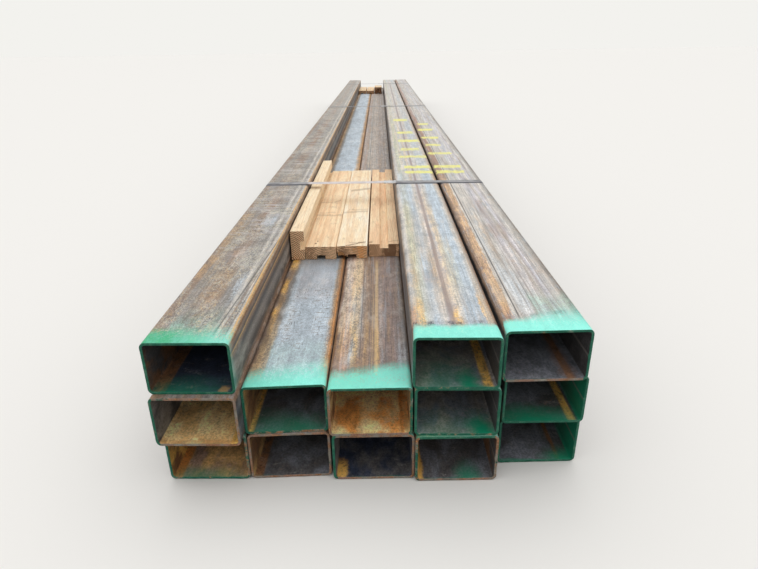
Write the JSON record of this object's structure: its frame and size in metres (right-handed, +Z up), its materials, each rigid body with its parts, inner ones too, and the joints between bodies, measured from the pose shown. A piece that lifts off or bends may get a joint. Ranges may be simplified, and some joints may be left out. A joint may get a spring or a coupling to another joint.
{
  "type": "bundle of rectangular steel tubes",
  "caption": "Steel-strapped bundle of long rectangular hollow structural tubes stacked in rows with staggered painted ends, and grooved timber spacers in a channel left in the top row.",
  "frame": {"origin": "on the floor under the middle of the bundle's outer box", "axes": "+Y along the tubes, away from the painted ends that the picture shows; +X across the bundle, towards the right seen from those ends; +Z up"},
  "size_m": [0.781, 7.3826, 0.3083],
  "materials": {
    "tube_steel": "hot-rolled mill scale with patches of rust; the near ends carry green marking paint",
    "strap_steel": "dull grey strapping steel",
    "seal_steel": "bright plated sheet steel",
    "timber": "rough-sawn untreated softwood"
  },
  "bodies": {
    "root": {"tube_top_1": "tube_steel", "tube_top_4": "tube_steel", "tube_top_5": "tube_steel", "tube_middle_1": "tube_steel", "tube_middle_2": "tube_steel", "tube_middle_3": "tube_steel", "tube_middle_4": "tube_steel", "tube_middle_5": "tube_steel", "tube_bottom_1": "tube_steel", "tube_bottom_2": "tube_steel", "tube_bottom_3": "tube_steel", "tube_bottom_4": "tube_steel", "tube_bottom_5": "tube_steel", "front_timber_on_edge": "timber", "front_timber_flat_1": "timber", "front_timber_flat_2": "timber", "front_timber_flat_3": "timber", "rear_timber_flat_1": "timber", "rear_timber_flat_2": "timber", "rear_timber_stack_lower": "timber", "rear_timber_stack_upper": "timber", "strap_front": "strap_steel", "seal_front": "seal_steel", "strap_middle": "strap_steel", "seal_middle": "seal_steel", "strap_rear": "strap_steel", "seal_rear": "seal_steel"}
  },
  "joints": []
}
